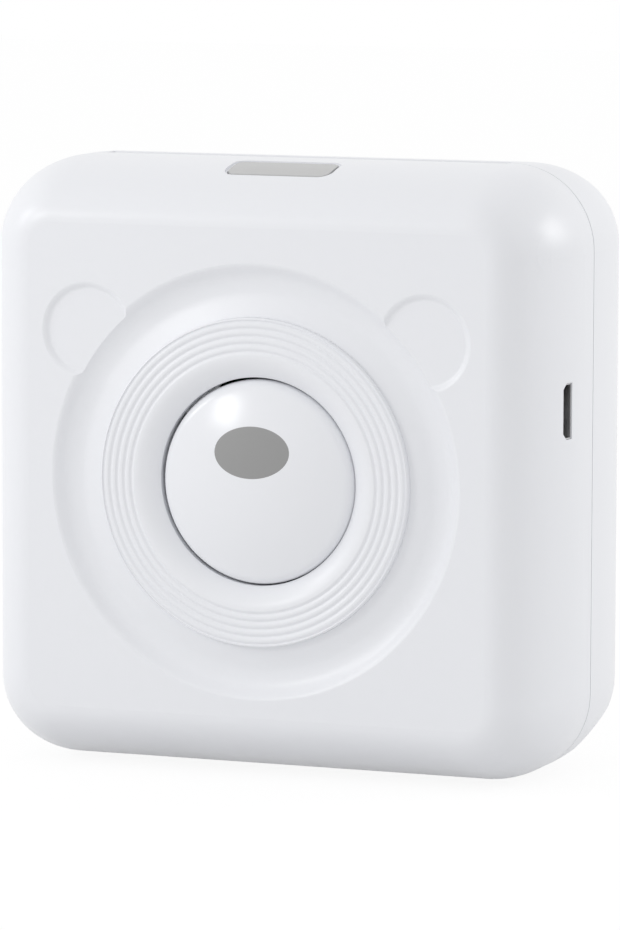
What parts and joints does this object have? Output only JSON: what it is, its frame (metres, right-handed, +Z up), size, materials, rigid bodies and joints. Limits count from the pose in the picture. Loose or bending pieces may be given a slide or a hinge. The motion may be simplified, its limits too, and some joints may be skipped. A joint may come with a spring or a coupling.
{
  "type": "portable photo printer",
  "caption": "Pocket thermal printer: square pillow-shaped casing with a hinged rear cover, round face button, grooved ring, ear recesses, top key and charging socket.",
  "frame": {"origin": "bottom centre of the casing, on the surface it stands on", "axes": "+Z up, +X to the right seen from the front, the face looks along -Y"},
  "size_m": [0.0832, 0.0418, 0.083],
  "materials": {
    "white_shell": "satin white moulded plastic",
    "grey_key": "light grey moulded plastic",
    "grey_print": "mid grey inlay",
    "steel": "bright steel",
    "dark_frame": "black moulded plastic",
    "light_frame": "pale grey moulded plastic",
    "board_green": "green solder mask",
    "chip_black": "black epoxy",
    "battery_foil": "laminated foil pouch",
    "aluminium": "plain aluminium",
    "ceramic": "fired ceramic",
    "rubber": "ground rubber",
    "gear_white": "natural acetal",
    "bush_brass": "turned brass",
    "paper": "smooth thermal paper",
    "card": "brown card",
    "ribbon": "amber film"
  },
  "bodies": {
    "front_unit": {"front_shell": "white_shell", "button_ring": "white_shell", "usb_socket": "steel", "main_board": "board_green", "board_chips": "chip_black", "flex_connector": "light_frame", "head_ribbon": "ribbon", "battery": "battery_foil", "switch_board": "board_green", "power_switch": "chip_black", "inner_frame": "dark_frame", "paper_sensor": "chip_black", "gear_plate": "steel", "gear_pins": "steel", "motor_body": "steel", "head_springs": "steel", "release_spring": "steel", "button_bridge": "dark_frame", "hinge_pins": "steel", "tear_blade": "steel", "frame_screws": "steel", "board_screws": "steel", "bridge_screws": "steel", "switch_screws": "steel"},
    "rear_cover": {"rear_cover": "white_shell", "platen_bracket": "dark_frame", "paper_guide": "dark_frame", "catch_pins": "steel", "bracket_screws": "steel", "guide_screws": "steel", "platen_bush_left": "bush_brass", "platen_bush_right": "bush_brass"},
    "cover_button": {"cover_button": "white_shell", "nose_mark": "grey_print"},
    "release_lever": {"release_lever": "dark_frame"},
    "power_key": {"power_key": "grey_key", "switch_plunger": "light_frame"},
    "platen": {"platen_shaft": "steel", "platen_rubber": "rubber", "platen_gear": "gear_white"},
    "idler_gear": {"idler_gear": "gear_white"},
    "reduction_gear": {"reduction_gear": "gear_white"},
    "motor_pinion": {"motor_pinion": "bush_brass"},
    "print_head": {"print_head_plate": "aluminium", "print_head_strip": "ceramic", "head_chip_cover": "chip_black"},
    "paper_roll": {"paper_roll": "paper", "roll_core": "card"}
  },
  "joints": [
    {"name": "rear_cover_hinge", "type": "hinge", "parent": "front_unit", "child": "rear_cover", "pos_m": [0, 0.00161, 0.0015], "axis": [-1, 0, 0], "range_deg": [0, 80]},
    {"name": "cover_button_press", "type": "slide", "parent": "front_unit", "child": "cover_button", "axis": [0, 1, 0], "range_m": [0, 0.0015], "stiffness_N_per_m": 600, "springref_m": -0.0005},
    {"name": "release_lever_pivot", "type": "hinge", "parent": "front_unit", "child": "release_lever", "pos_m": [0, -0.01252, 0.072], "axis": [1, 0, 0], "range_deg": [0, 2.8], "deforming": ["release_spring"]},
    {"name": "power_key_press", "type": "slide", "parent": "front_unit", "child": "power_key", "axis": [0, 0, -1], "range_m": [0, 0.0005], "stiffness_N_per_m": 1500, "springref_m": -0.0005},
    {"name": "platen_spin", "type": "hinge", "parent": "rear_cover", "child": "platen", "pos_m": [0, 0.00477, 0.0705], "axis": [1, 0, 0], "continuous": true},
    {"name": "idler_gear_spin", "type": "hinge", "parent": "front_unit", "child": "idler_gear", "pos_m": [0, -0.00543, 0.0705], "axis": [1, 0, 0], "continuous": true},
    {"name": "reduction_gear_spin", "type": "hinge", "parent": "front_unit", "child": "reduction_gear", "pos_m": [0, -0.00622, 0.06314], "axis": [1, 0, 0], "continuous": true},
    {"name": "motor_pinion_spin", "type": "hinge", "parent": "front_unit", "child": "motor_pinion", "pos_m": [0, -0.00762, 0.05547], "axis": [1, 0, 0], "continuous": true},
    {"name": "print_head_swing", "type": "hinge", "parent": "front_unit", "child": "print_head", "pos_m": [0, -0.00123, 0.0646], "axis": [1, 0, 0], "range_deg": [0, 1.5], "stiffness_Nm_per_rad": 0.3, "springref_deg": -2.86, "deforming": ["head_springs"]},
    {"name": "paper_roll_spin", "type": "hinge", "parent": "front_unit", "child": "paper_roll", "pos_m": [0, 0.00207, 0.02], "axis": [1, 0, 0], "continuous": true}
  ],
  "couplings": [
    {"joint": "release_lever_pivot", "follows": "cover_button_press", "rad_per_m": 31.516},
    {"joint": "idler_gear_spin", "follows": "platen_spin", "ratio": -0.96154},
    {"joint": "reduction_gear_spin", "follows": "platen_spin", "ratio": 2.2727},
    {"joint": "motor_pinion_spin", "follows": "platen_spin", "ratio": -7.5758}
  ]
}
